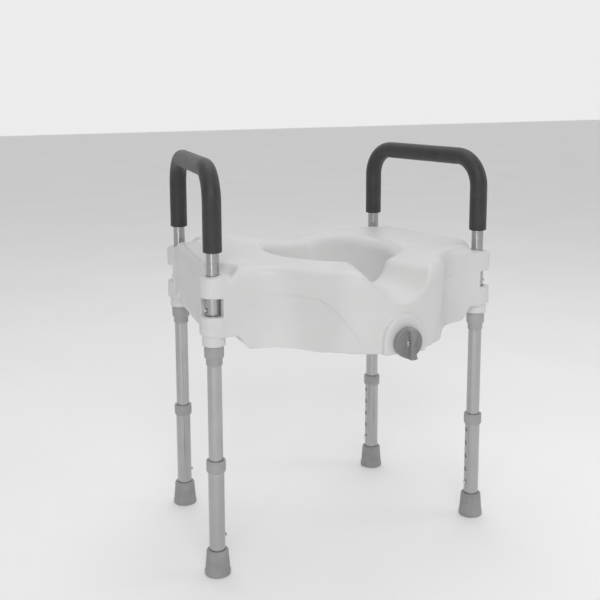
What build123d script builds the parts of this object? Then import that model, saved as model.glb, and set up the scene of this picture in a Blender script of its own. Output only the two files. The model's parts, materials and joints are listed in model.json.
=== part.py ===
"""Raised toilet seat on a height-adjustable four-leg safety frame, in millimetres.

Z is up and the floor is Z = 0. X runs across the seat and Y from front (-) to back (+).
"""

import os
from math import atan2, cos, hypot, sin, sqrt

from build123d import *

os.makedirs("parts", exist_ok=True)

# Driving dimensions: leg stance
front_half_span = 274.0
rear_half_span = 224.0
half_depth = 156.0

# Heights above the floor
seat_underside = 418.0
seat_top = 556.0
neck_bottom = 419.0
neck_height = 20.0
window_bottom = 473.0
window_top = 505.0
boss_top = 541.0
arm_height = 721.0
foam_end = 581.0

# Tube stock
arm_radius, upper_radius, lower_radius = 11.1, 12.7, 14.3
tube_wall = 1.2
bend_radius = 45.0
foam_radius = 16.5

# Leg fittings
hole_pitch = 27.5
hole_count = 5
leg_button_z = 70.0
arm_button_z = 482.0
upper_tube_bottom = 48.0
upper_tube_top = 517.0
arm_tube_bottom = 455.0
lower_tube_bottom = 8.0
lower_tube_top = 209.0
foot_height = 47.0
lower_collar_bottom, lower_collar_top = 191.0, 213.0
neck_collar_bottom = 397.0
ferrule_bottom = 385.0
collar_radius = 17.3
running_gap = 0.3
seat_gap = 0.05

# Snap buttons
button_radius = 3.8
button_hole_radius = 4.2
button_proud = 3.0
flange = 1.2
spring_thickness = 0.6
spring_width = 6.0

# Seat moulding
wall = 3.0
boss_radius = 24.5
neck_radius = 20.0
side_offset = 14.0
window_inner = 9.0
seat_front = 336.0
seat_rear = 176.0
recess_top = 452.0
scoop_radius = 66.0
scoop_low = 501.0
scoop_back = 180.0
scoop_slope = 10.0
rear_dip = 18.0
rear_dip_half = 130.0

# Bowl clamp
knob_z = 436.0
knob_radius = 26.0
knob_disc = 10.0
blade_height = 15.0
screw_radius = 5.0
screw_bore = 5.4
knob_face = -seat_front - 2.1
recess_front = 308.0
recess_radius = 170.0
jaw_front = -302.0
jaw_depth = 14.0
jaw_height = 30.0
pad_back = -283.0

legs = {
    "front_left": (-front_half_span, -half_depth),
    "front_right": (front_half_span, -half_depth),
    "rear_left": (-rear_half_span, half_depth),
    "rear_right": (rear_half_span, half_depth),
}
leg_points = list(legs.values())
splay = atan2(front_half_span - rear_half_span, 2 * half_depth)
grip_span = hypot(front_half_span - rear_half_span, 2 * half_depth)


# The row's origin is under the middle of the whole object, from the knob to the rear columns
knob_front = knob_face - knob_disc - blade_height
row_origin = Location((0, -(knob_front + half_depth + boss_radius) / 2, 0))


def save(builder, name):
    """Label one finished sub-part and write it, in the row's frame, as its own STEP file."""
    placed = builder.part.moved(row_origin)
    placed.label = name
    export_step(placed, f"parts/{name}.step")


def tube_at(point, radius, bottom, top):
    """Add a plain round tube standing at a leg position."""
    with BuildSketch(Plane.XY.offset(bottom)) as section:
        with Locations(point):
            Circle(radius)
            Circle(radius - tube_wall, mode=Mode.SUBTRACT)
    extrude(section.sketch, amount=top - bottom)


def ring_at(point, outer, inner, bottom, top):
    """Add a round collar with a straight bore at a leg position."""
    with BuildSketch(Plane.XY.offset(bottom)) as section:
        with Locations(point):
            Circle(outer)
            Circle(inner, mode=Mode.SUBTRACT)
    extrude(section.sketch, amount=top - bottom)


def cross_hole(point, z, side):
    """Cut one button hole through the wall that faces along side * X."""
    with Locations(Location((point[0], point[1], z), (0, 90 * side, 0))):
        Cylinder(button_hole_radius, 40, align=(Align.CENTER, Align.CENTER, Align.MIN), mode=Mode.SUBTRACT)


# ---------------------------------------------------------------- seat moulding

side_x = cos(splay) * side_offset
side_y = sin(splay) * side_offset

with BuildSketch() as seat_plan:
    with BuildLine():
        front = JernArc(start=(0, -seat_front), tangent=(1, 0), radius=165, arc_size=35)
        lobe = JernArc(start=front @ 1, tangent=front % 1, radius=60, arc_size=23)
        flank = Line(lobe @ 1, lobe @ 1 + 60 * (lobe % 1))
        hollow = JernArc(start=flank @ 1, tangent=flank % 1, radius=110, arc_size=-43)
        Polyline(
            hollow @ 1,
            (front_half_span, -half_depth - side_offset),
            (front_half_span + side_x, -half_depth + side_y),
            (rear_half_span + side_x, half_depth + side_y),
            (rear_half_span, seat_rear),
            (0, seat_rear),
            (0, -seat_front),
        )
    make_face()
    mirror(about=Plane.YZ)

with BuildSketch() as opening_plan:
    with BuildLine():
        side_rim = ThreePointArc((0, -215), (76, -165), (114, -60))
        back_rim = TangentArc(side_rim @ 1, (45, 104), tangent=side_rim % 1)
        Polyline(back_rim @ 1, (0, 104), (0, -215))
    make_face()
    mirror(about=Plane.YZ)

with BuildSketch() as recess_plan:
    with Locations((0, recess_radius - recess_front)):
        Circle(recess_radius)
        Rectangle(2 * recess_radius, 400, align=(Align.CENTER, Align.MIN))


def scoop(grow):
    """Cylinders that lower the top at the front and, more gently, at the back."""
    scoop_axis_z = scoop_low + scoop_radius
    with Locations(Location((0, -seat_front, scoop_axis_z), (-90 + scoop_slope, 0, 0))):
        Cylinder(
            scoop_radius + grow, 2 * (seat_front - scoop_back), mode=Mode.SUBTRACT,
        )
    dip_radius = (rear_dip_half**2 + rear_dip**2) / (2 * rear_dip)
    with Locations(Location((0, half_depth, seat_top - rear_dip + dip_radius), (90, 0, 0))):
        Cylinder(dip_radius + grow, half_depth, mode=Mode.SUBTRACT)


def window_boxes(grow):
    """Openings in the columns that show the tube and its button."""
    for name, (x, y) in legs.items():
        side = 1 if x > 0 else -1
        fore = 1 if "rear" in name else -1
        width, depth = 50 + grow, 46 + 2 * grow
        with Locations((x + side * (width / 2 - window_inner - grow), y + fore * 9, window_bottom - grow)):
            Box(
                width, depth, window_top - window_bottom + 2 * grow,
                align=(Align.CENTER, Align.CENTER, Align.MIN), mode=Mode.SUBTRACT,
            )


with BuildPart() as cavity:
    with BuildSketch(Plane.XY.offset(seat_underside + wall)):
        offset(seat_plan.sketch, amount=-wall, mode=Mode.ADD)
        offset(opening_plan.sketch, amount=wall, mode=Mode.SUBTRACT)
    extrude(amount=seat_top - seat_underside - 2 * wall)
    with BuildSketch(Plane.XY.offset(seat_underside)):
        offset(recess_plan.sketch, amount=wall, mode=Mode.ADD)
    extrude(amount=recess_top - seat_underside + wall, mode=Mode.SUBTRACT)
    scoop(wall)
    window_boxes(wall)
    with Locations([(x, y, neck_bottom) for x, y in leg_points]):
        Cylinder(
            upper_radius + running_gap + wall, seat_top - neck_bottom,
            align=(Align.CENTER, Align.CENTER, Align.MIN), mode=Mode.SUBTRACT,
        )
    with Locations([(x, y, boss_top - wall) for x, y in leg_points]):
        Cylinder(
            boss_radius + 6 + wall, 40,
            align=(Align.CENTER, Align.CENTER, Align.MIN), mode=Mode.SUBTRACT,
        )
    with Locations((0, -seat_front, seat_underside)):
        Box(
            24, 80, 2 * (knob_z - seat_underside),
            align=(Align.CENTER, Align.CENTER, Align.MIN), mode=Mode.SUBTRACT,
        )

with BuildPart() as seat_shell:
    with BuildSketch(Plane.XY.offset(seat_underside)):
        add(seat_plan.sketch)
    extrude(amount=seat_top - seat_underside)
    top_rim = seat_shell.faces().sort_by(Axis.Z)[-1].edges()
    fillet(top_rim, 7)
    with Locations([(x, y, neck_bottom + neck_height) for x, y in leg_points]):
        Cylinder(
            boss_radius, boss_top - neck_bottom - neck_height,
            align=(Align.CENTER, Align.CENTER, Align.MIN),
        )
    with Locations([(x, y, boss_top) for x, y in leg_points]):
        Cylinder(
            boss_radius + 6, 40,
            align=(Align.CENTER, Align.CENTER, Align.MIN), mode=Mode.SUBTRACT,
        )
    with Locations([(x, y, seat_underside - 1) for x, y in leg_points]):
        Cylinder(
            boss_radius + 4, neck_bottom + neck_height - seat_underside + 1,
            align=(Align.CENTER, Align.CENTER, Align.MIN), mode=Mode.SUBTRACT,
        )
    with Locations([(x, y, neck_bottom) for x, y in leg_points]):
        Cylinder(neck_radius, neck_height + 5, align=(Align.CENTER, Align.CENTER, Align.MIN))
    with BuildSketch(Plane.XY.offset(seat_underside)):
        add(opening_plan.sketch)
    extrude(amount=seat_top, mode=Mode.SUBTRACT)
    with BuildSketch(Plane.XY.offset(seat_underside)):
        add(recess_plan.sketch)
    extrude(amount=recess_top - seat_underside, mode=Mode.SUBTRACT)
    scoop(0)
    add(cavity.part, mode=Mode.SUBTRACT)
    window_boxes(0)
    with Locations([(x, y, neck_bottom) for x, y in leg_points]):
        Cylinder(
            upper_radius + running_gap, upper_tube_top + 1 - neck_bottom,
            align=(Align.CENTER, Align.CENTER, Align.MIN), mode=Mode.SUBTRACT,
        )
        Cylinder(
            arm_radius + running_gap, seat_top - neck_bottom,
            align=(Align.CENTER, Align.CENTER, Align.MIN), mode=Mode.SUBTRACT,
        )
    with Locations(Location((0, -seat_front, knob_z), (90, 0, 0))):
        Cylinder(screw_bore, 80, mode=Mode.SUBTRACT)
    with Locations((0, half_depth, recess_top)):
        Cylinder(4, 12, mode=Mode.SUBTRACT)
save(seat_shell, "seat_shell")

# ---------------------------------------------------------------- rim pads

pad_places = {
    "rim_pad_front_left": (-142, -170, 25),
    "rim_pad_front_right": (142, -170, -25),
    "rim_pad_rear_left": (-142, 40, -15),
    "rim_pad_rear_right": (142, 40, 15),
}
for name, (x, y, turn) in pad_places.items():
    with BuildPart() as rim_pad:
        with BuildSketch(Plane.XY.offset(recess_top)):
            with Locations(Location((x, y, 0), (0, 0, turn))):
                SlotOverall(60, 16, rotation=90)
        extrude(amount=-5)
        chamfer(rim_pad.faces().sort_by(Axis.Z)[0].edges(), 1)
    save(rim_pad, name)

# ---------------------------------------------------------------- bowl clamp

front_plane = Plane((0, 0, knob_z), x_dir=(1, 0, 0), z_dir=(0, -1, 0))

with BuildPart() as lock_knob:
    with BuildSketch(front_plane.offset(-knob_face)):
        Circle(knob_radius)
    extrude(amount=knob_disc)
    chamfer(lock_knob.faces().sort_by(Axis.Y)[0].edges(), 2)
    blade_root = knob_face - knob_disc + 2
    with BuildSketch(Plane.YZ):
        with BuildLine():
            Polyline(
                (blade_root, knob_z - 26),
                (blade_root, knob_z + 22),
                (blade_root - 10, knob_z + 21),
                (knob_front, knob_z + 14),
                (knob_front, knob_z - 18),
                (blade_root - 10, knob_z - 26),
                close=True,
            )
        make_face()
    extrude(amount=7, both=True)
    with Locations((15.5, blade_root - 14.5, knob_z), (-15.5, blade_root - 14.5, knob_z)):
        Cylinder(12, 70, mode=Mode.SUBTRACT)
    with Locations(Location((0, knob_face, knob_z), (90, 0, 0))):
        Cylinder(screw_radius + seat_gap, 26, mode=Mode.SUBTRACT)
save(lock_knob, "lock_knob")

with BuildPart() as lock_screw:
    with BuildSketch(front_plane.offset(-pad_back)):
        Circle(screw_radius)
    extrude(amount=pad_back - knob_face + 12)
    chamfer(lock_screw.edges().filter_by(GeomType.CIRCLE), 0.8)
save(lock_screw, "lock_screw")

with BuildPart() as knob_washer:
    with BuildSketch(front_plane.offset(seat_front + seat_gap)):
        Circle(15)
        Circle(screw_radius + running_gap, mode=Mode.SUBTRACT)
    extrude(amount=1.6)
save(knob_washer, "knob_washer")

with BuildPart() as retaining_clip:
    with BuildSketch(front_plane.offset(recess_front - running_gap - 1.5)):
        Circle(9)
        Circle(screw_radius + seat_gap, mode=Mode.SUBTRACT)
    extrude(amount=1.5)
save(retaining_clip, "retaining_clip")

with BuildPart() as clamp_jaw:
    with Locations((0, jaw_front, recess_top - 1)):
        Box(72, jaw_depth, jaw_height, align=(Align.CENTER, Align.MIN, Align.MAX))
    with BuildSketch(front_plane.offset(-jaw_front)):
        RegularPolygon(8.1, 6, major_radius=False)
    extrude(amount=-8, mode=Mode.SUBTRACT)
    with Locations(Location((0, jaw_front, knob_z), (90, 0, 0))):
        Cylinder(screw_bore, 3 * jaw_depth, mode=Mode.SUBTRACT)
save(clamp_jaw, "clamp_jaw")

with BuildPart() as clamp_nut:
    with BuildSketch(front_plane.offset(-jaw_front - 0.9)):
        RegularPolygon(8, 6, major_radius=False)
        Circle(screw_radius + 0.08, mode=Mode.SUBTRACT)
    extrude(amount=-7)
save(clamp_nut, "clamp_nut")

with BuildPart() as jaw_pad:
    with Locations((0, pad_back, recess_top - 1)):
        Box(72, pad_back - jaw_front - jaw_depth, jaw_height, align=(Align.CENTER, Align.MAX, Align.MAX))
    with Locations(Location((0, pad_back, knob_z), (90, 0, 0))):
        Cylinder(screw_bore, 20, mode=Mode.SUBTRACT)
save(jaw_pad, "jaw_pad")

# ---------------------------------------------------------------- arms

for side, label in ((-1, "left"), (1, "right")):
    mid_x = side * (front_half_span + rear_half_span) / 2
    along = Vector(side * -sin(splay), cos(splay), 0)
    arm_plane = Plane((mid_x, 0, 0), x_dir=along, z_dir=along.cross(Vector(0, 0, 1)))

    with BuildPart() as arm_tube:
        with BuildLine(arm_plane) as arm_path:
            FilletPolyline(
                (-grip_span / 2, arm_tube_bottom),
                (-grip_span / 2, arm_height),
                (grip_span / 2, arm_height),
                (grip_span / 2, arm_tube_bottom),
                radius=bend_radius,
            )
        with BuildSketch(Plane(arm_path.wires()[0] @ 0, z_dir=(0, 0, 1))):
            Circle(arm_radius)
            Circle(arm_radius - tube_wall, mode=Mode.SUBTRACT)
        sweep(path=arm_path.wires()[0])
        for x, y in leg_points:
            if x * side > 0:
                cross_hole((x, y), arm_button_z, side)
    save(arm_tube, f"arm_tube_{label}")

    with BuildPart() as foam_grip:
        with BuildLine(arm_plane) as grip_path:
            FilletPolyline(
                (-grip_span / 2, foam_end),
                (-grip_span / 2, arm_height),
                (grip_span / 2, arm_height),
                (grip_span / 2, foam_end),
                radius=bend_radius,
            )
        with BuildSketch(Plane(grip_path.wires()[0] @ 0, z_dir=(0, 0, 1))):
            Circle(foam_radius)
            Circle(arm_radius + seat_gap, mode=Mode.SUBTRACT)
        sweep(path=grip_path.wires()[0])
    save(foam_grip, f"foam_grip_{label}")

# ---------------------------------------------------------------- legs


def flange_seat(tube_radius):
    """Inner end of a button whose flange rests inside a tube of this outer radius."""
    bore = tube_radius - tube_wall - running_gap
    return sqrt(bore**2 - (button_radius + flange) ** 2) - flange


def snap_button(point, z, side, tip, reach):
    """Domed button with a flange; tip is its outer end and reach its inner end."""
    with Locations(Location((point[0] + side * reach, point[1], z), (0, 90 * side, 0))):
        Cylinder(button_radius, tip - reach, align=(Align.CENTER, Align.CENTER, Align.MIN))
        Cylinder(button_radius + flange, flange, align=(Align.CENTER, Align.CENTER, Align.MIN))


def clip_spring(point, z, side, reach):
    """Bent strip that pushes the button outward from the far wall of the tube."""
    x, y = point
    with BuildSketch(Plane((x, y, z), x_dir=(side, 0, 0), z_dir=(0, -side, 0))) as strip:
        with BuildLine():
            FilletPolyline(
                (reach - spring_thickness, 5), (reach - spring_thickness, -14), (-reach, -14), (-reach - 1.9, 5),
                radius=2,
            )
        trace(line_width=spring_thickness)
    extrude(strip.sketch, amount=spring_width / 2, both=True)


for name, point in legs.items():
    outward = 1 if point[0] > 0 else -1
    inward = -outward

    with BuildPart() as upper_tube:
        tube_at(point, upper_radius, upper_tube_bottom, upper_tube_top)
        cross_hole(point, arm_button_z, outward)
        cross_hole(point, leg_button_z, inward)
    save(upper_tube, f"upper_tube_{name}")

    with BuildPart() as neck_collar:
        ring_at(point, collar_radius, upper_radius + seat_gap, neck_collar_bottom, neck_bottom - seat_gap)
        chamfer(neck_collar.edges().group_by(Axis.Z)[0], 0.8)
    save(neck_collar, f"neck_collar_{name}")

    with BuildPart() as ferrule:
        ring_at(point, lower_radius, upper_radius + seat_gap, ferrule_bottom, neck_collar_bottom - seat_gap)
        chamfer(ferrule.edges().group_by(Axis.Z)[0].sort_by(SortBy.LENGTH)[-1], 1.2)
    save(ferrule, f"ferrule_{name}")

    with BuildPart() as lower_tube:
        tube_at(point, lower_radius, lower_tube_bottom, lower_tube_top)
        for step in range(hole_count):
            cross_hole(point, leg_button_z + step * hole_pitch, inward)
    save(lower_tube, f"lower_tube_{name}")

    with BuildPart() as lower_collar:
        ring_at(point, collar_radius, lower_radius + seat_gap, lower_collar_bottom, lower_tube_top + seat_gap)
        ring_at(
            point, collar_radius, upper_radius + running_gap, lower_tube_top + seat_gap, lower_collar_top,
        )
        chamfer(lower_collar.edges().group_by(Axis.Z)[-1].sort_by(SortBy.LENGTH)[-1], 1)
    save(lower_collar, f"lower_collar_{name}")

    with BuildPart() as foot:
        with BuildSketch(Plane.XZ) as foot_side:
            with BuildLine():
                Polyline(
                    (0, 0), (20.5, 0), (23.2, 4), (23.2, 9), (20.2, foot_height - 2),
                    (18.6, foot_height), (lower_radius + seat_gap, foot_height),
                    (lower_radius + seat_gap, lower_tube_bottom - seat_gap),
                    (0, lower_tube_bottom - seat_gap),
                    close=True,
                )
            make_face()
        revolve(axis=Axis.Z)
    foot.part.position = (point[0], point[1], 0)
    save(foot, f"foot_{name}")

    with BuildPart() as arm_button:
        arm_reach = flange_seat(arm_radius)
        snap_button(point, arm_button_z, outward, upper_radius + button_proud, arm_reach)
    save(arm_button, f"arm_button_{name}")

    with BuildPart() as arm_spring:
        clip_spring(point, arm_button_z, outward, arm_reach)
    save(arm_spring, f"arm_spring_{name}")

    with BuildPart() as leg_button:
        leg_reach = flange_seat(upper_radius)
        snap_button(point, leg_button_z, inward, lower_radius + button_proud, leg_reach)
    save(leg_button, f"leg_button_{name}")

    with BuildPart() as leg_spring:
        clip_spring(point, leg_button_z, inward, leg_reach)
    save(leg_spring, f"leg_spring_{name}")
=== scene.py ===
import json
import math

import bmesh
import bpy
import numpy as np
from mathutils import Matrix, Vector

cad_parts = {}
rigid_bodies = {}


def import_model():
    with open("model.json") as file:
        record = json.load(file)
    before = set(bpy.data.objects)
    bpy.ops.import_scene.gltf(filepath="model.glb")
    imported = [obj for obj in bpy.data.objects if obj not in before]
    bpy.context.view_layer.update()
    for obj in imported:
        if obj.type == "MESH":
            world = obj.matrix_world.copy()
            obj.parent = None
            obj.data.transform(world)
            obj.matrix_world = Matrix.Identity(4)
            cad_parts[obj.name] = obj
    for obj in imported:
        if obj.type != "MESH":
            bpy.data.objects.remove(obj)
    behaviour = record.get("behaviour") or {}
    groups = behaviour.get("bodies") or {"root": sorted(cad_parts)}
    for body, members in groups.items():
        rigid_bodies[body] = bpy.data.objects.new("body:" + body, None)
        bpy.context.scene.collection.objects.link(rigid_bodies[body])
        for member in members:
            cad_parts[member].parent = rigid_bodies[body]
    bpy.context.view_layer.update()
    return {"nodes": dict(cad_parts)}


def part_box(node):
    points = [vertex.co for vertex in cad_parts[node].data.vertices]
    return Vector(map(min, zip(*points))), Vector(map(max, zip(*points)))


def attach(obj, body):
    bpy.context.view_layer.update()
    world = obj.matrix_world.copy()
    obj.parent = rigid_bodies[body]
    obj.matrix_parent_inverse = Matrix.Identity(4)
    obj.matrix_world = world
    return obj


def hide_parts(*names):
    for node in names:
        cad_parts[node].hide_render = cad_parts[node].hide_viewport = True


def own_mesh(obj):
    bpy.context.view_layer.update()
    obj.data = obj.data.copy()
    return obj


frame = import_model()

MM = 0.001
CORNERS = ("front_left", "front_right", "rear_left", "rear_right")


def span(node):
    """Lowest corner, highest corner and centre of a node, in millimetres."""
    low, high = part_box(node)
    low = np.array(low, float) / MM
    high = np.array(high, float) / MM
    return low, high, (low + high) / 2


# ---------------------------------------------------------------- places from the frame
post = {c: span(f"upper_tube_{c}")[2][:2] for c in CORNERS}
front_x, front_y = post["front_right"]
rear_x, rear_y = post["rear_right"]
mid_y = (front_y + rear_y) / 2
half_depth = (rear_y - front_y) / 2
upper_low, upper_high, _ = span("upper_tube_front_right")
tube_radius = (upper_high - upper_low)[0] / 2
upper_top = upper_high[2]
seat_low, seat_high, _ = span("seat_shell")
knob_low, knob_high, knob_mid = span("lock_knob")
recess_top = span("rim_pad_front_left")[1][2]
boss_top = seat_high[2] - 15
window_low, window_high = seat_high[2] - 83, seat_high[2] - 51
neck_low = span("neck_collar_front_left")[1][2]
front = seat_low[1] - mid_y
rear = seat_high[1] - mid_y - 4.5
handle_x = 13.5

# sizes of the seat that no box in the frame gives, in millimetres
column_radius, column_upper_radius = 24.5, 24.2
column_lift = 21
groove_z, groove_half, groove_deep = 457, 1.2, 0.7
rear_dip, rear_dip_half = 18, 132
scoop_low, scoop_rise, scoop_run = 501, 20, 112
recess_radius, recess_centre = 170, 138
boss_half, boss_squeeze = 46, 1.13
window_half, window_inner, window_behind = 16, 9, 14
collar_gap = 0.1


# ---------------------------------------------------------------- distance fields
def arc_walk(start, heading, steps):
    """Points along tangent arcs and lines; a step is (radius, degrees) or (length, None)."""
    points = [np.array(start, float)]
    angle = math.radians(heading)
    for size, turn in steps:
        if turn is None:
            points.append(points[-1] + size * np.array([math.cos(angle), math.sin(angle)]))
            continue
        parts = 12
        side = 1 if turn > 0 else -1
        begin = points[-1]
        centre = begin + side * size * np.array([-math.sin(angle), math.cos(angle)])
        for part in range(1, parts + 1):
            now = angle + math.radians(turn) * part / parts
            points.append(centre - side * size * np.array([-math.sin(now), math.cos(now)]))
        angle += math.radians(turn)
    return points


def through(a, b, c, parts=24):
    """Points on the circle from a through b to c, and the direction at c."""
    (ax, ay), (bx, by), (cx, cy) = a, b, c
    d = 2 * (ax * (by - cy) + bx * (cy - ay) + cx * (ay - by))
    a2, b2, c2 = ax**2 + ay**2, bx**2 + by**2, cx**2 + cy**2
    ux = (a2 * (by - cy) + b2 * (cy - ay) + c2 * (ay - by)) / d
    uy = (a2 * (cx - bx) + b2 * (ax - cx) + c2 * (bx - ax)) / d
    radius = math.hypot(ax - ux, ay - uy)
    first = math.atan2(ay - uy, ax - ux)
    last = math.atan2(cy - uy, cx - ux)
    turn = np.linspace(first, last, parts)
    points = [np.array([ux + radius * math.cos(t), uy + radius * math.sin(t)]) for t in turn]
    return points, np.array([-math.sin(last), math.cos(last)])


def tangent_arc(a, direction, c, parts=24):
    """Points on the circle that leaves a along direction and ends at c."""
    a, c = np.array(a, float), np.array(c, float)
    normal = np.array([-direction[1], direction[0]])
    run = c - a
    reach = (run @ run) / (2 * (run @ normal))
    centre = a + normal * reach
    first = math.atan2(*(a - centre)[::-1])
    last = math.atan2(*(c - centre)[::-1])
    return [
        centre + abs(reach) * np.array([math.cos(t), math.sin(t)])
        for t in np.linspace(first, last, parts)[1:]
    ]


class Plan:
    """Signed distance to a closed outline in the XY plane, kept on a 1 mm grid."""

    def __init__(self, right_half, blur):
        half = np.array(right_half, float)
        loop = np.vstack([half, half[::-1] * [-1, 1]])
        self.x0, self.y0, self.step = -330.0, -380.0, 1.0
        xs = self.x0 + self.step * np.arange(661)
        ys = self.y0 + self.step * np.arange(621)
        gx, gy = np.meshgrid(xs, ys, indexing="ij")
        best = np.full(gx.shape, 1e9)
        inside = np.zeros(gx.shape, bool)
        for (ax, ay), (bx, by) in zip(loop, np.roll(loop, -1, axis=0)):
            ex, ey = bx - ax, by - ay
            length = ex * ex + ey * ey
            if length < 1e-9:
                continue
            t = np.clip(((gx - ax) * ex + (gy - ay) * ey) / length, 0, 1)
            best = np.minimum(best, (gx - ax - t * ex) ** 2 + (gy - ay - t * ey) ** 2)
            if abs(ey) > 1e-12:
                crosses = ((ay > gy) != (by > gy)) & (gx < ax + ex * (gy - ay) / ey)
                inside ^= crosses
        grid = np.sqrt(best) * np.where(inside, -1, 1)
        # a box blur, run twice each way, rounds the outline's corners
        for axis in (0, 1, 0, 1):
            edge = [(0, 0), (0, 0)]
            edge[axis] = (blur + 1, blur)
            total = np.cumsum(np.pad(grid, edge, mode="edge"), axis=axis)
            width = 2 * blur + 1
            count = grid.shape[axis]
            high = np.take(total, range(width, width + count), axis=axis)
            grid = (high - np.take(total, range(count), axis=axis)) / width
        self.grid = grid

    def __call__(self, x, y):
        x, y = np.broadcast_arrays(x, y)
        u = np.clip((x - self.x0) / self.step, 0, self.grid.shape[0] - 1.001)
        v = np.clip((y - self.y0) / self.step, 0, self.grid.shape[1] - 1.001)
        i, j = u.astype(int), v.astype(int)
        u, v = u - i, v - j
        g = self.grid
        return (
            g[i, j] * (1 - u) * (1 - v) + g[i + 1, j] * u * (1 - v)
            + g[i, j + 1] * (1 - u) * v + g[i + 1, j + 1] * u * v
        )


def both(a, b, r):
    """Intersection of two solids with the shared edge rounded to r."""
    corner = np.hypot(np.maximum(a + r, 0), np.maximum(b + r, 0))
    return np.minimum(-r, np.maximum(a, b)) + corner


def either(a, b, r):
    """Union of two solids with the shared corner filled to r."""
    corner = np.hypot(np.maximum(r - a, 0), np.maximum(r - b, 0))
    return np.maximum(r, np.minimum(a, b)) - corner


def ease(low, high, v):
    """Smooth step from 0 at low to 1 at high; low may be the larger."""
    t = np.clip((v - low) / (high - low), 0, 1)
    return t * t * (3 - 2 * t)


def surface(field, low, high, step, passes=3):
    """Closed quad mesh of field = 0 inside the box: points and faces, in millimetres."""
    axes = [np.arange(a - 2 * step, b + 2.5 * step, step) for a, b in zip(low, high)]
    value = field(axes[0][:, None, None], axes[1][None, :, None], axes[2][None, None, :])
    value = np.broadcast_to(value, [len(a) for a in axes])
    value = np.ascontiguousarray(value, dtype=np.float32)
    inside = value < 0
    cells = tuple(n - 1 for n in value.shape)
    total = np.zeros(cells + (3,), np.float32)
    count = np.zeros(cells, np.float32)

    def part(a, di, dj, dk):
        return a[di : di + cells[0], dj : dj + cells[1], dk : dk + cells[2]]

    for axis in range(3):
        others = [a for a in range(3) if a != axis]
        for p in (0, 1):
            for q in (0, 1):
                start = [0, 0, 0]
                start[others[0]], start[others[1]] = p, q
                end = list(start)
                end[axis] = 1
                va, vb = part(value, *start), part(value, *end)
                hit = part(inside, *start) != part(inside, *end)
                t = np.where(hit, va / np.where(hit, va - vb, 1), 0)
                for a in range(3):
                    total[..., a] += np.where(hit, t if a == axis else start[a], 0)
                count += hit
    live = count > 0
    number = np.full(cells, -1, np.int64)
    number[live] = np.arange(live.sum())
    where = np.argwhere(live)
    points = where + total[live] / count[live][:, None]
    points = np.array([a[0] for a in axes]) + points * step

    faces = []
    for axis in range(3):
        b, c = (axis + 1) % 3, (axis + 2) % 3
        lead = [slice(None)] * 3
        tail = [slice(None)] * 3
        lead[axis], tail[axis] = slice(0, -1), slice(1, None)
        change = inside[tuple(lead)] != inside[tuple(tail)]
        at = np.argwhere(change)
        keep = (at[:, b] > 0) & (at[:, c] > 0)
        keep &= (at[:, b] < cells[b]) & (at[:, c] < cells[c])
        at = at[keep]
        out = inside[tuple(at.T)]
        ring = []
        for db, dc in ((1, 1), (0, 1), (0, 0), (1, 0)):
            cell = at.copy()
            cell[:, b] -= db
            cell[:, c] -= dc
            ring.append(number[tuple(cell.T)])
        quad = np.stack(ring, 1)
        quad[~out] = quad[~out][:, ::-1]
        faces.append(quad)
    faces = np.vstack(faces)
    faces = faces[(faces >= 0).all(1)]

    e = 0.4 * step
    for _ in range(passes):
        x, y, z = points.T
        f = field(x, y, z)
        slope = np.stack(
            [
                (field(x + e, y, z) - field(x - e, y, z)) / (2 * e),
                (field(x, y + e, z) - field(x, y - e, z)) / (2 * e),
                (field(x, y, z + e) - field(x, y, z - e)) / (2 * e),
            ],
            1,
        )
        size = np.maximum((slope**2).sum(1), 0.15)
        move = -(f / size)[:, None] * slope
        length = np.linalg.norm(move, axis=1)
        move *= np.minimum(1, 0.8 * step / np.maximum(length, 1e-9))[:, None]
        points = points + 0.8 * move
    return points, faces


def mesh_piece(name, points, faces, body):
    """A mesh object from points in millimetres, already placed in the row frame."""
    mesh = bpy.data.meshes.new(name)
    points = np.asarray(points, float) * MM
    if isinstance(faces, np.ndarray):
        mesh.vertices.add(len(points))
        mesh.vertices.foreach_set("co", points.ravel())
        mesh.loops.add(faces.size)
        mesh.loops.foreach_set("vertex_index", faces.ravel().astype(np.int32))
        mesh.polygons.add(len(faces))
        starts = np.arange(0, faces.size, faces.shape[1], dtype=np.int32)
        mesh.polygons.foreach_set("loop_start", starts)
        mesh.update(calc_edges=True)
    else:
        mesh.from_pydata(points.tolist(), [], faces)
    mesh.validate()
    mesh.update()
    mesh.polygons.foreach_set("use_smooth", np.full(len(mesh.polygons), True))
    piece = bpy.data.objects.new(name, mesh)
    bpy.context.scene.collection.objects.link(piece)
    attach(piece, body)
    return piece


# ---------------------------------------------------------------- seat
half_outline = arc_walk((0, front), 0, [(165, 35), (60, 23), (60, None), (110, -43)])
half_outline += [
    (front_x, -half_depth - 23.5), (front_x + handle_x, -half_depth),
    (rear_x + handle_x, half_depth), (rear_x, rear), (0, rear),
]
seat_plan = Plan(half_outline, 5)
rim_side, rim_direction = through((0, front + 121), (76, front + 171), (114, front + 276))
rim_back = tangent_arc(rim_side[-1], rim_direction, (45, 104))
opening_plan = Plan(rim_side + rim_back + [(0, 104)], 14)

crease_x = (0, 62, 79, 91, 109, 125, 162, 195, 400)
crease_z = (350, 412, 448, 466, 492, 506, 508, 509, 509)


def posts_at(x, y):
    """Distance from the nearest post's centreline."""
    x = np.abs(x)
    return np.minimum(np.hypot(x - front_x, y + half_depth), np.hypot(x - rear_x, y - half_depth))


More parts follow.
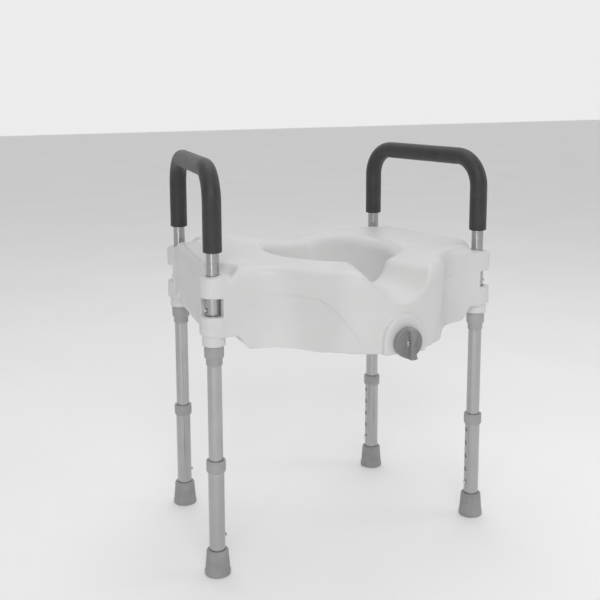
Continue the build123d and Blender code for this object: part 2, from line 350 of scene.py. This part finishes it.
def seat_field(x, y, z):
    side = np.abs(x)
    near = posts_at(x, y)
    outline = seat_plan(x, y)

    # the front face steps back a little below the crease and beside the knob's boss
    forward = ease(-90, -150, y)
    edge = np.interp(side, crease_x, crease_z)
    slope = np.interp(side, (60, 70, 110, 125, 400), (2.2, 2.1, 1.4, 0.1, 0.0))
    below = (edge - z) / np.sqrt(1 + slope**2)
    crease = 2.6 * ease(-2.5, 3.0, below) * ease(222, 176, side) * ease(56, 68, side)
    step_back = 5.0 * ease(150, 96, side)
    panel = ease(4, 26, near - column_radius)
    panel = panel * ease(-half_depth - 10, -half_depth + 30, y)
    panel = panel * ease(half_depth + 8, half_depth - 30, y)
    web = 2.4 * panel * ease(455, 436, z)
    outline = outline + forward * (crease + step_back) + web

    # the top: flat wings, a rear dip, the front scoop, lower round the posts
    dip = rear_dip * np.maximum(0, 1 - (side / rear_dip_half) ** 2)
    top = seat_high[2] - dip * ease(40, 130, y)
    top = np.minimum(top, boss_top + 15 * ease(25, 46, near))
    along = np.clip((y - front - 10) / scoop_run, -0.4, 1.35)
    floor_z = scoop_low + scoop_rise * along
    widen = 0.0105 + 0.012 * np.clip(along, 0, 1.3) ** 1.5
    scoop = (z - floor_z - widen * side**2) / np.sqrt(1 + (1.6 * widen * side) ** 2)
    scoop = np.where(y > front + 230, -60, scoop)
    flat = z - top
    upper = both(flat, scoop, 13)

    # the underside: lifted round the posts, further in at the rear, and arched along each side
    lift = column_lift * np.where(y > 0, ease(96, 60, near), ease(62, 40, near))
    lift = lift + 18 * ease(20, 52, side - 190) * panel
    drop = forward * (2 + 6 * ease(95, 140, side) * ease(240, 190, side))
    under = seat_low[2] + lift - drop - z

    rounding = 6 + 10 * ease(-130, -230, y) * ease(50, 80, side)
    rounding = rounding + 5 * ease(455, 520, z) * ease(45, 75, side)
    body = both(outline, upper, rounding)
    body = both(body, under, 5)

    # the round columns at the posts
    column = np.where(z < groove_z, near - column_radius, near - column_upper_radius)
    groove = groove_deep * np.exp(-(((z - groove_z) / groove_half) ** 2))
    groove = groove * ease(-6, 2, outline)
    column = column + groove
    column = both(column, z - boss_top, 5)
    column = both(column, (seat_low[2] + column_lift) - z, 3)
    body = either(body, column, 9)
    neck = both(near - 20, neck_low + 0.5 - z, 1.2)
    neck = both(neck, z - (window_low - 8), 1)
    body = either(body, neck, 2.5)

    # the arched boss behind the knob
    squeezed = boss_squeeze * side
    arch = np.where(z > knob_mid[2], np.hypot(squeezed, z - knob_mid[2]), squeezed) - boss_half
    boss = both(arch, front - y, 3.2)
    boss = both(boss, y - (front + 60), 1)
    boss = both(boss, seat_low[2] - 3 - z, 4)
    body = either(body, boss, 2)

    # the middle, the space over the bowl, the windows and the bores
    body = both(body, -opening_plan(x, y), 8 + 15 * ease(470, 535, z))
    recess_y = y + recess_centre
    recess = np.where(recess_y < 0, np.hypot(side, recess_y), side) - recess_radius
    recess = np.maximum(recess, np.where(y < 0, outline + 11, -60))
    body = both(body, -both(recess, z - recess_top, 6), 2.5)
    beyond = side - np.where(y < 0, front_x, rear_x)
    behind = np.where(y < 0, y + half_depth, half_depth - y) - window_behind
    level = np.abs(z - (window_low + window_high) / 2) - window_half
    window = np.maximum(np.maximum(-window_inner - beyond, level), np.maximum(behind, near - 40))
    body = both(body, -window, 1.6)
    bore = np.where(z < upper_top + 1, near - tube_radius - 0.4, near - 11.6)
    body = both(body, -bore, 0.8)
    run = np.maximum(front - 20 - y, y - (front + 70))
    screw = np.maximum(np.hypot(x, z - knob_mid[2]) - 5.6, run)
    return both(body, -screw, 0.8)


def in_row(points):
    """Moves points from the middle between the posts to the row frame."""
    return points + np.array([0, mid_y, 0])


step = 2.5
points, faces = surface(
    seat_field,
    (seat_low[0], seat_low[1] - mid_y, seat_low[2]),
    (seat_high[0], seat_high[1] - mid_y, seat_high[2]),
    step,
)
seat = mesh_piece("seat", in_row(points), faces, "frame")
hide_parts("seat_shell")


# ---------------------------------------------------------------- turned parts
def lathe(name, profile, centre, body, around=64, wave=None):
    """A closed ring turned from a closed profile of (radius, height)."""
    points, faces = [], []
    count = len(profile)
    for i in range(around):
        angle = 2 * math.pi * i / around
        for radius, height in profile:
            r = radius + (wave(angle, radius, height) if wave else 0)
            x, y = centre[0] + r * math.cos(angle), centre[1] + r * math.sin(angle)
            points.append((x, y, height))
    for i in range(around):
        j = (i + 1) % around
        for k in range(count):
            m = (k + 1) % count
            faces.append((i * count + k, j * count + k, j * count + m, i * count + m))
    return mesh_piece(name, points, faces, body)


def soften(profile, r, parts=3):
    """Rounds each corner of a closed profile."""
    result = []
    count = len(profile)
    for i in range(count):
        a, b, c = (np.array(profile[(i + k) % count], float) for k in (-1, 0, 1))
        into, out = b - a, c - b
        cut = min(r, np.linalg.norm(into) * 0.45, np.linalg.norm(out) * 0.45)
        start = b - into / np.linalg.norm(into) * cut
        end = b + out / np.linalg.norm(out) * cut
        for t in np.linspace(0, 1, parts + 1):
            result.append(tuple((1 - t) ** 2 * start + 2 * t * (1 - t) * b + t * t * end))
    return result


for corner in CORNERS:
    leg_body = f"leg_{corner}"
    low, high, mid = span(f"foot_{corner}")
    base = (high - low)[0] / 2
    tube_low, tube_high, _ = span(f"lower_tube_{corner}")
    lower_radius = (tube_high - tube_low)[0] / 2
    top = high[2]
    bore = lower_radius + 0.15
    tube_bottom = tube_low[2]
    outer = [(0.2, low[2] + 1.6), (base - 7, low[2] + 1.6)]
    outer += [(base - 6.4, low[2]), (base - 1.2, low[2]), (base, low[2] + 1.6)]
    outer += [(base, low[2] + 8), (base - 0.9, low[2] + 9.2)]
    for k in range(3):
        z = low[2] + 13 + 8 * k
        r = base - 1.1 - 0.66 * k
        outer += [(r, z - 1.1), (r - 0.7, z), (r - 0.25, z + 1.1)]
    outer += [(base - 3.4, top - 8), (base - 3.4, top - 3.2)]
    outer += [(base - 5.2, top - 0.4), (base - 6.4, top)]
    outer += [(bore, top), (bore, tube_bottom), (0.2, tube_bottom)]
    foot = lathe(f"foot_{corner}_piece", soften(outer, 0.9), mid, leg_body, 72)
    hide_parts(f"foot_{corner}")

    for node, body, slot in (
        (f"lower_collar_{corner}", leg_body, "grey_plastic"),
        (f"neck_collar_{corner}", "frame", "grey_plastic"),
    ):
        low, high, mid = span(node)
        radius = (high - low)[0] / 2
        inner = tube_radius + collar_gap
        ring = [(inner, low[2]), (radius - 1.6, low[2]), (radius - 0.2, low[2] + 3.4)]
        ring += [(radius, high[2] - 4.4), (radius - 0.55, high[2] - 3.6)]
        ring += [(radius - 0.55, high[2] - 2.9), (radius, high[2] - 2.2)]
        ring += [(radius - 0.6, high[2]), (inner, high[2])]
        if "lower" in node:
            ring = [(lower_radius + collar_gap, low[2])] + ring[1:] + [(inner, high[2] - 3.2)]
            ring += [(lower_radius + collar_gap, high[2] - 3.9)]
        piece = lathe(node + "_piece", soften(ring, 0.7), mid, body, 72)
        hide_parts(node)


# ---------------------------------------------------------------- knob
def knob_field(x, y, z):
    """The turning knob, about its own axis; y grows away from the seat's face."""
    across = np.hypot(x, z)
    radius = (knob_high - knob_low)[0] / 2
    disc = both(across - radius, np.abs(y - 5) - 5, 2.4)
    groove = np.maximum(np.abs(across - radius + 5), np.abs(y - 10.3)) - 0.55
    disc = both(disc, -groove, 0.5)
    reach = (knob_high - knob_low)[1]
    rise = reach - 3.8 * np.exp(-(((z + 3) / 9.5) ** 2))
    thick = 3.2 + 4.6 * (np.abs(z + 1) / 25) ** 1.6
    blade = both(np.abs(x) - thick, y - rise, 2.2)
    blade = both(blade, np.hypot(z, x) - radius, 2.0)
    blade = both(blade, 2 - y, 0.5)
    return either(disc, blade, 2.2)


reach = (knob_high - knob_low)[1]
radius = (knob_high - knob_low)[0] / 2
step = 0.7
points, faces = surface(knob_field, (-radius, 0, -radius), (radius, reach, radius), step)
points = np.stack([points[:, 0], knob_high[1] - points[:, 1], knob_mid[2] + points[:, 2]], 1)
knob = mesh_piece("knob_grip", points, faces[:, ::-1], "knob")
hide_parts("lock_knob")


# ---------------------------------------------------------------- foam grips
for hand in ("left", "right"):
    sign = 1 if hand == "right" else -1
    low, high, _ = span(f"foam_grip_{hand}")
    arm_top = span(f"arm_tube_{hand}")[1][2]
    arm_radius = 11.1
    line_top = arm_top - arm_radius
    grip = high[2] - line_top
    bend = 56.0
    start = np.array([sign * front_x, front_y, low[2]])
    finish = np.array([sign * rear_x, rear_y, low[2]])
    across = finish - start
    width = np.linalg.norm(across)
    across /= width
    upward = np.array([0, 0, 1.0])
    normal = np.cross(across, upward)
    rise = line_top - low[2]
    route = []
    for t in np.linspace(0, 1, 28):
        route.append((0, t * (rise - bend), 0))
    for t in np.linspace(0, 1, 21)[1:]:
        a = t * math.pi / 2
        route.append((bend * (1 - math.cos(a)), rise - bend + bend * math.sin(a), a))
    for t in np.linspace(0, 1, 45)[1:]:
        route.append((bend + t * (width - 2 * bend), rise, math.pi / 2))
    for t in np.linspace(0, 1, 21)[1:]:
        a = math.pi / 2 * (1 - t)
        u, w = width - bend * (1 - math.cos(a)), rise - bend + bend * math.sin(a)
        route.append((u, w, math.pi - a))
    for t in np.linspace(0, 1, 28)[1:]:
        route.append((width, (rise - bend) * (1 - t), math.pi))
    strides = [math.dist(p[:2], q[:2]) for p, q in zip(route, route[1:])]
    lengths = np.concatenate([[0], np.cumsum(strides)])
    rings = []
    lip = ((0.0, 2.6), (0.35, 1.45), (1.1, 0.55), (2.3, 0.12))
    begin, end = route[0], route[-1]
    for off, pull in lip:
        rings.append((begin[0], begin[1] + off, 0, grip - pull))
    for (u, w, a), s in zip(route[1:-1], lengths[1:-1]):
        ripple = 0.11 * math.sin(s / 23.0) + 0.07 * math.sin(s / 7.1 + 1)
        squeeze = 0
        if 0 < a < math.pi and abs(a - math.pi / 2) > 0.02:
            squeeze = -0.25 * math.sin(min(a, math.pi - a)) ** 2
        rings.append((u, w, a, grip + min(0, ripple) + squeeze))
    for off, pull in reversed(lip):
        rings.append((end[0], end[1] + off, math.pi, grip - pull))
    bore = arm_radius + 0.12
    rings += [(u, w, a, bore) for u, w, a, r in reversed(rings)]
    around = 48
    points, faces = [], []
    for u, w, a, r in rings:
        base = start + across * u + upward * w
        outward = -across * math.cos(a) + upward * math.sin(a)
        for k in range(around):
            turn = 2 * math.pi * k / around
            points.append(base + r * (math.cos(turn) * outward + math.sin(turn) * normal))
    for i in range(len(rings)):
        j = (i + 1) % len(rings)
        for k in range(around):
            m = (k + 1) % around
            faces.append((i * around + k, j * around + k, j * around + m, i * around + m))
    foam = mesh_piece(f"grip_{hand}", points, faces, "frame")
    shape = bmesh.new()
    shape.from_mesh(foam.data)
    bmesh.ops.recalc_face_normals(shape, faces=shape.faces)
    shape.to_mesh(foam.data)
    shape.free()
    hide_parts(f"foam_grip_{hand}")


# ---------------------------------------------------------------- clip springs
springs = []
for corner in CORNERS:
    for kind, travel in (("arm", 4.8), ("leg", 4.7)):
        node = f"{kind}_spring_{corner}"
        low, high, mid = span(node)
        spring = bpy.data.objects.new(node + "_piece", frame["nodes"][node].data.copy())
        bpy.context.scene.collection.objects.link(spring)
        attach(spring, "frame")
        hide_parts(node)
        # arm buttons go in from outside the frame, leg buttons from inside it
        width = (high - low)[0]
        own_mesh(spring)
        springs.append(spring)


# ---------------------------------------------------------------- materials
class Paint:
    """A procedural material, built node by node in the object's own coordinates."""

    def __init__(self, name, **sockets):
        self.material = bpy.data.materials.new(name)
        self.material.use_nodes = True
        self.tree = self.material.node_tree
        self.shader = self.tree.nodes["Principled BSDF"]
        for socket, value in sockets.items():
            self.shader.inputs[socket.replace("_", " ")].default_value = value
        self.place = self.node("ShaderNodeTexCoord").outputs["Object"]
        self.height = None

    def node(self, kind, **settings):
        made = self.tree.nodes.new(kind)
        for key, value in settings.items():
            setattr(made, key, value)
        return made

    def join(self, a, b):
        self.tree.links.new(a, b)

    def stretched(self, scale):
        mapping = self.node("ShaderNodeMapping")
        mapping.inputs["Scale"].default_value = scale
        self.join(self.place, mapping.inputs["Vector"])
        return mapping.outputs["Vector"]

    def noise(self, scale, detail=3.0, rough=0.5, at=None):
        made = self.node("ShaderNodeTexNoise")
        made.inputs["Scale"].default_value = scale
        made.inputs["Detail"].default_value = detail
        made.inputs["Roughness"].default_value = rough
        self.join(at or self.place, made.inputs["Vector"])
        return made.outputs["Fac"]

    def cells(self, scale):
        made = self.node("ShaderNodeTexVoronoi")
        made.inputs["Scale"].default_value = scale
        self.join(self.place, made.inputs["Vector"])
        return made.outputs["Distance"]

    def spread(self, value, low, high, from_low=0.3, from_high=0.7):
        made = self.node("ShaderNodeMapRange")
        for name, number in (
            ("From Min", from_low), ("From Max", from_high), ("To Min", low), ("To Max", high),
        ):
            made.inputs[name].default_value = number
        self.join(value, made.inputs["Value"])
        return made.outputs["Result"]

    def colours(self, value, dark, light):
        made = self.node("ShaderNodeValToRGB")
        made.color_ramp.elements[0].position = 0.32
        made.color_ramp.elements[0].color = (*dark, 1)
        made.color_ramp.elements[1].position = 0.68
        made.color_ramp.elements[1].color = (*light, 1)
        self.join(value, made.inputs["Fac"])
        return made.outputs["Color"]

    def colour(self, socket):
        self.join(socket, self.shader.inputs["Base Color"])

    def roughness(self, socket):
        self.join(socket, self.shader.inputs["Roughness"])

    def bump(self, value, distance, strength=1.0):
        made = self.node("ShaderNodeBump")
        made.inputs["Distance"].default_value = distance
        made.inputs["Strength"].default_value = strength
        self.join(value, made.inputs["Height"])
        if self.height:
            self.join(self.height, made.inputs["Normal"])
        self.height = made.outputs["Normal"]
        self.join(self.height, self.shader.inputs["Normal"])


def moulded(name, dark, light, rough, grain, grain_depth, coat):
    """Moulded plastic: fine grain, a slow ripple, small changes of tone and gloss."""
    p = Paint(name, IOR=1.49, Coat_Weight=coat, Coat_Roughness=0.35)
    p.colour(p.colours(p.noise(9, 4), dark, light))
    p.roughness(p.spread(p.noise(55, 5, 0.6), rough - 0.05, rough + 0.07))
    p.bump(p.noise(26, 2), 0.0012, 0.12)
    p.bump(p.noise(grain, 3, 0.6), grain_depth, 0.35)
    return p.material


def metal(name, tone, rough, streak):
    """Drawn metal: lines along the height and soft stains."""
    p = Paint(name, Metallic=1.0, Anisotropic=0.35)
    lines = p.noise(1.0, 6, 0.65, p.stretched((2600, 2600, streak)))
    p.colour(p.colours(p.noise(30, 5, 0.6), tuple(0.93 * t for t in tone), tone))
    p.roughness(p.spread(lines, rough - 0.05, rough + 0.07))
    p.bump(lines, 0.00002, 0.3)
    return p.material


def soft_grain(name, dark, light, rough, cell, depth_m, sheen):
    """Foam or rubber: closed cells, dusty tone changes and a matt surface."""
    p = Paint(name, IOR=1.45, Sheen_Weight=sheen, Sheen_Roughness=0.5)
    p.colour(p.colours(p.noise(34, 6, 0.62), dark, light))
    p.roughness(p.spread(p.noise(120, 3), rough - 0.06, rough + 0.06))
    p.bump(p.noise(60, 3), 0.0006, 0.25)
    p.bump(p.cells(cell), depth_m, 0.6)
    return p.material


paints = {
    "seat_plastic": moulded(
        "seat_moulded", (0.655, 0.655, 0.65), (0.70, 0.70, 0.695), 0.42, 1500, 0.00012, 0.08,
    ),
    "grey_plastic": moulded(
        "grey_moulded", (0.20, 0.20, 0.205), (0.25, 0.25, 0.255), 0.40, 2200, 0.0001, 0.05,
    ),
    "collar_plastic": moulded(
        "collar_moulded", (0.33, 0.33, 0.335), (0.41, 0.41, 0.415), 0.44, 2000, 0.0001, 0.05,
    ),
    "aluminium_tube": metal(
        "satin_aluminium", (0.47, 0.47, 0.48), 0.20, 22,
    ),
    "steel": metal(
        "bright_steel", (0.72, 0.72, 0.73), 0.20, 300,
    ),
    "grip_foam": soft_grain(
        "closed_cell_foam", (0.030, 0.030, 0.031), (0.044, 0.044, 0.045), 0.50, 1700, 0.00006, 0.08,
    ),
    "foot_rubber": soft_grain(
        "foot_rubber_grain", (0.27, 0.27, 0.275), (0.35, 0.35, 0.355), 0.66, 1900, 0.00008, 0.1,
    ),
    "pad_rubber": soft_grain(
        "pad_rubber_grain", (0.10, 0.10, 0.103), (0.14, 0.14, 0.143), 0.72, 1700, 0.0001, 0.1,
    ),
}


def slot_of(obj):
    """The material slot that a CAD node was packed with."""
    for made in obj.data.materials:
        for name in paints:
            if made and name in made.name:
                return name
    return None


for name, obj in frame["nodes"].items():
    if obj.type != "MESH":
        continue
    found = slot_of(obj)
    if found is None:
        print("no slot for", name)
        continue
    if name.startswith(("ferrule", "neck_collar", "lower_collar")):
        found = "collar_plastic"
    if not obj.data.materials:
        obj.data.materials.append(paints[found])
    for index in range(len(obj.data.materials)):
        obj.data.materials[index] = paints[found]
for spring in springs:
    spring.data.materials.clear()
    spring.data.materials.append(paints["steel"])
for piece, name in [(seat, "seat_plastic"), (knob, "grey_plastic")]:
    piece.data.materials.append(paints[name])
for obj in bpy.data.objects:
    if obj.type == "MESH" and not obj.data.materials:
        for word, name in (
            ("foot_", "foot_rubber"), ("grip_", "grip_foam"), ("collar", "collar_plastic"),
        ):
            if word in obj.name:
                obj.data.materials.append(paints[name])
                break

# ---------------------------------------------------------------- floor, light and camera
ground = bmesh.new()
half = 14.0
for x, y in ((-half, -half), (half, -half), (half, half), (-half, half)):
    ground.verts.new((x, y, 0))
ground.faces.new(ground.verts)
floor_mesh = bpy.data.meshes.new("floor")
ground.to_mesh(floor_mesh)
ground.free()
floor = bpy.data.objects.new("floor", floor_mesh)
bpy.context.scene.collection.objects.link(floor)
floor_paint = Paint("pale_floor", Roughness=0.62, Emission_Strength=0.04)
floor_paint.shader.inputs["Emission Color"].default_value = (1, 1, 1, 1)
floor_tone = floor_paint.noise(2.2, 4)
floor_paint.colour(floor_paint.colours(floor_tone, (0.91, 0.91, 0.91), (0.94, 0.94, 0.94)))
floor.data.materials.append(floor_paint.material)

world = bpy.data.worlds.new("studio")
world.use_nodes = True
sky = world.node_tree
direction = sky.nodes.new("ShaderNodeTexCoord")
parts = sky.nodes.new("ShaderNodeSeparateXYZ")
turn = sky.nodes.new("ShaderNodeMath")
turn.operation = "ARCTAN2"
share = sky.nodes.new("ShaderNodeMapRange")
share.inputs["From Min"].default_value = -math.pi
share.inputs["From Max"].default_value = math.pi
ramp = sky.nodes.new("ShaderNodeValToRGB")
sky.links.new(direction.outputs["Generated"], parts.inputs["Vector"])
sky.links.new(parts.outputs["Y"], turn.inputs[0])
sky.links.new(parts.outputs["X"], turn.inputs[1])
sky.links.new(turn.outputs["Value"], share.inputs["Value"])
sky.links.new(share.outputs["Result"], ramp.inputs["Fac"])
# share of the turn about +Z, and the sky's tone there; both ends meet
bands = ((0.0, 0.38), (0.09, 0.32), (0.17, 0.80), (0.24, 0.70), (0.31, 0.30), (0.44, 0.38))
bands += ((0.54, 0.50), (0.60, 0.84), (0.76, 0.84), (0.83, 0.46), (1.0, 0.38))
marks = ramp.color_ramp.elements
marks[0].position, marks[1].position = bands[0][0], bands[-1][0]
for at, _ in bands[1:-1]:
    marks.new(at)
for mark, (_, tone) in zip(marks, bands):
    mark.color = (tone, tone, tone, 1)
sky.links.new(ramp.outputs["Color"], sky.nodes["Background"].inputs["Color"])
sky.nodes["Background"].inputs["Strength"].default_value = 1.0
bpy.context.scene.world = world


def lamp(name, place, aim, wide, tall, power):
    data = bpy.data.lights.new(name, "AREA")
    data.shape = "RECTANGLE"
    data.size, data.size_y, data.energy = wide, tall, power
    made = bpy.data.objects.new(name, data)
    made.location = place
    made.rotation_euler = (Vector(aim) - Vector(place)).to_track_quat("-Z", "Y").to_euler()
    bpy.context.scene.collection.objects.link(made)


middle = (0, 0, 0.4)
lamp("key", (-1.1, -2.5, 2.3), middle, 1.4, 1.2, 24)
lamp("strip", (-2.1, -2.1, 0.8), middle, 0.2, 2.0, 7)
lamp("side", (2.6, -0.9, 1.6), middle, 1.0, 2.0, 9)
lamp("overhead", (0.2, 0.5, 3.2), middle, 2.4, 2.4, 21)

camera_data = bpy.data.cameras.new("camera")
camera_data.sensor_width = 36
camera_data.lens = 59.18
camera_data.shift_y = -0.10
camera = bpy.data.objects.new("camera", camera_data)
bpy.context.scene.collection.objects.link(camera)
eye = (-0.8663, -1.6043, 0.8728)
yaw, pitch, roll = 0.4573, 0.1632, -0.0029
level_part = math.cos(pitch)
ahead = Vector((math.sin(yaw) * level_part, math.cos(yaw) * level_part, -math.sin(pitch)))
level = Vector((math.cos(yaw), -math.sin(yaw), 0))
above = level.cross(ahead)
right = level * math.cos(roll) + above * math.sin(roll)
up = above * math.cos(roll) - level * math.sin(roll)
camera.matrix_world = Matrix(
    (
        (right.x, up.x, -ahead.x, eye[0]),
        (right.y, up.y, -ahead.y, eye[1]),
        (right.z, up.z, -ahead.z, eye[2]),
        (0, 0, 0, 1),
    )
)
bpy.context.scene.camera = camera
bpy.context.scene.view_settings.view_transform = "Standard"
